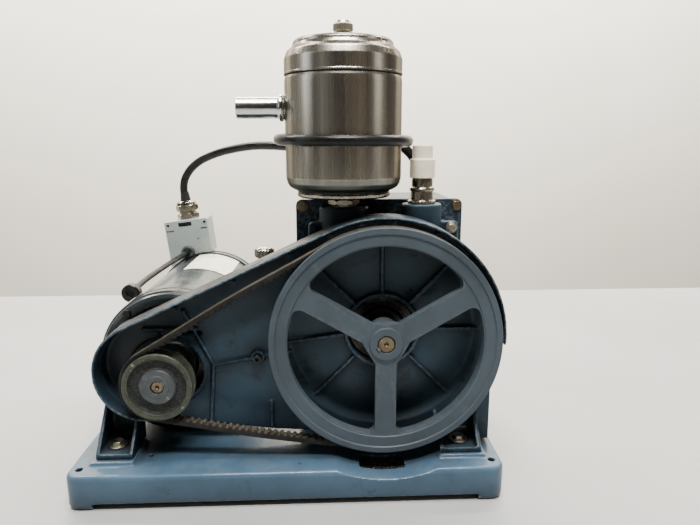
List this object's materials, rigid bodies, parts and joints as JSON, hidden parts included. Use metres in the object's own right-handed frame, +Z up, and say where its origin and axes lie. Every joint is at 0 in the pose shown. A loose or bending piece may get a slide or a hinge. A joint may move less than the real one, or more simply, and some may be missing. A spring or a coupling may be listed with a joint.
{
  "type": "rotary vane vacuum pump",
  "caption": "Belt-driven two-stage rotary vane vacuum pump on a cast base, with spoked flywheel, belt guard, electric motor, switch box, exhaust filter and capped intake.",
  "frame": {"origin": "centre of the pump's box, without its cord, on the plane of the base's feet", "axes": "+Z up, -Y towards the flywheel's front, +X towards the oil case's side with the drain valve"},
  "size_m": [0.4818, 0.5113, 0.518],
  "materials": {
    "casting_paint": "slate-blue semi-gloss paint over iron castings",
    "wheel_paint": "blue-grey satin paint over cast iron",
    "case_paint": "dark navy semi-gloss paint",
    "motor_paint": "dark grey-blue gloss paint",
    "zinc": "zinc-plated steel, slightly yellowed",
    "filter_steel": "brushed bare steel with vertical streaks",
    "nickel": "worn nickel plate",
    "brass": "dull brass",
    "steel": "ground steel",
    "iron": "bare cast iron",
    "rubber": "black rubber",
    "cap_plastic": "cream moulded plastic",
    "box_plastic": "light grey moulded plastic",
    "fan_plastic": "black moulded plastic",
    "vane_laminate": "phenolic laminate",
    "glass": "clear sight glass in a brass ring",
    "felt": "pressed filter felt"
  },
  "bodies": {
    "frame": {"base": "casting_paint", "guard_casting": "casting_paint", "guard_bolt_left": "zinc", "guard_bolt_right": "zinc", "guard_screw": "zinc", "shaft_seal_housing": "iron", "shaft_seal": "rubber", "pump_body": "casting_paint", "case_front_plate": "case_paint", "case_gasket": "rubber", "oil_case": "case_paint", "case_screw_1": "brass", "case_screw_2": "brass", "sight_glass": "glass", "drain_valve": "brass", "gas_ballast_elbow": "zinc", "front_stator": "iron", "rear_stator": "iron", "centre_plate": "iron", "end_plate": "iron", "intake_nipple": "nickel", "exhaust_nipple": "zinc", "filter_body": "filter_steel", "filter_outlet": "filter_steel", "filter_rod": "zinc", "filter_element": "felt", "motor_front_bell": "motor_paint", "motor_rear_bell": "motor_paint", "motor_shell": "motor_paint", "motor_stator": "iron", "motor_front_bearing": "steel", "motor_rear_bearing": "steel", "motor_cradle": "motor_paint", "switch_box": "box_plastic", "box_cover": "box_plastic", "cord_gland": "nickel", "lead_bushing": "iron", "motor_lead": "rubber", "v_belt": "rubber", "power_cord": "rubber", "cord_coil": "rubber", "plug": "rubber"},
    "drive": {"flywheel": "wheel_paint", "pump_shaft": "steel", "flywheel_key": "brass", "front_rotor": "steel", "rear_rotor": "steel", "front_vane_1": "vane_laminate", "front_vane_2": "vane_laminate", "rear_vane_1": "vane_laminate", "rear_vane_2": "vane_laminate"},
    "motor_drive": {"motor_rotor": "steel", "motor_shaft": "steel", "motor_fan": "fan_plastic", "motor_pulley": "iron"},
    "intake_cap": {"intake_cap": "cap_plastic"},
    "ballast_knob": {"gas_ballast_knob": "nickel"},
    "drain_handle": {"drain_handle": "zinc"},
    "filter_lid": {"filter_lid": "filter_steel"},
    "filter_knob": {"filter_knob": "zinc"}
  },
  "joints": [
    {"name": "flywheel_spin", "type": "hinge", "parent": "frame", "child": "drive", "pos_m": [0.10506, -0.1605, 0.1723], "axis": [0, 1, 0], "continuous": true},
    {"name": "motor_spin", "type": "hinge", "parent": "frame", "child": "motor_drive", "pos_m": [-0.14214, -0.1605, 0.128], "axis": [0, 1, 0], "continuous": true},
    {"name": "intake_cap_lift", "type": "slide", "parent": "frame", "child": "intake_cap", "axis": [0, 0, 1], "range_m": [0, 0.0125]},
    {"name": "gas_ballast_turn", "type": "hinge", "parent": "frame", "child": "ballast_knob", "pos_m": [-0.03694, -0.0355, 0.251], "axis": [0, 0, 1], "range_deg": [0, 360]},
    {"name": "drain_handle_turn", "type": "hinge", "parent": "frame", "child": "drain_handle", "pos_m": [0.21606, 0.0075, 0.073], "axis": [0, 0, -1], "range_deg": [0, 90]},
    {"name": "filter_lid_lift", "type": "slide", "parent": "frame", "child": "filter_lid", "axis": [0, 0, 1], "range_m": [0, 0.08]},
    {"name": "filter_knob_turn", "type": "hinge", "parent": "filter_lid", "child": "filter_knob", "pos_m": [0.06206, -0.0945, 0.508], "axis": [0, 0, 1], "continuous": true}
  ],
  "couplings": [
    {"joint": "motor_spin", "follows": "flywheel_spin", "ratio": 3.6757}
  ]
}
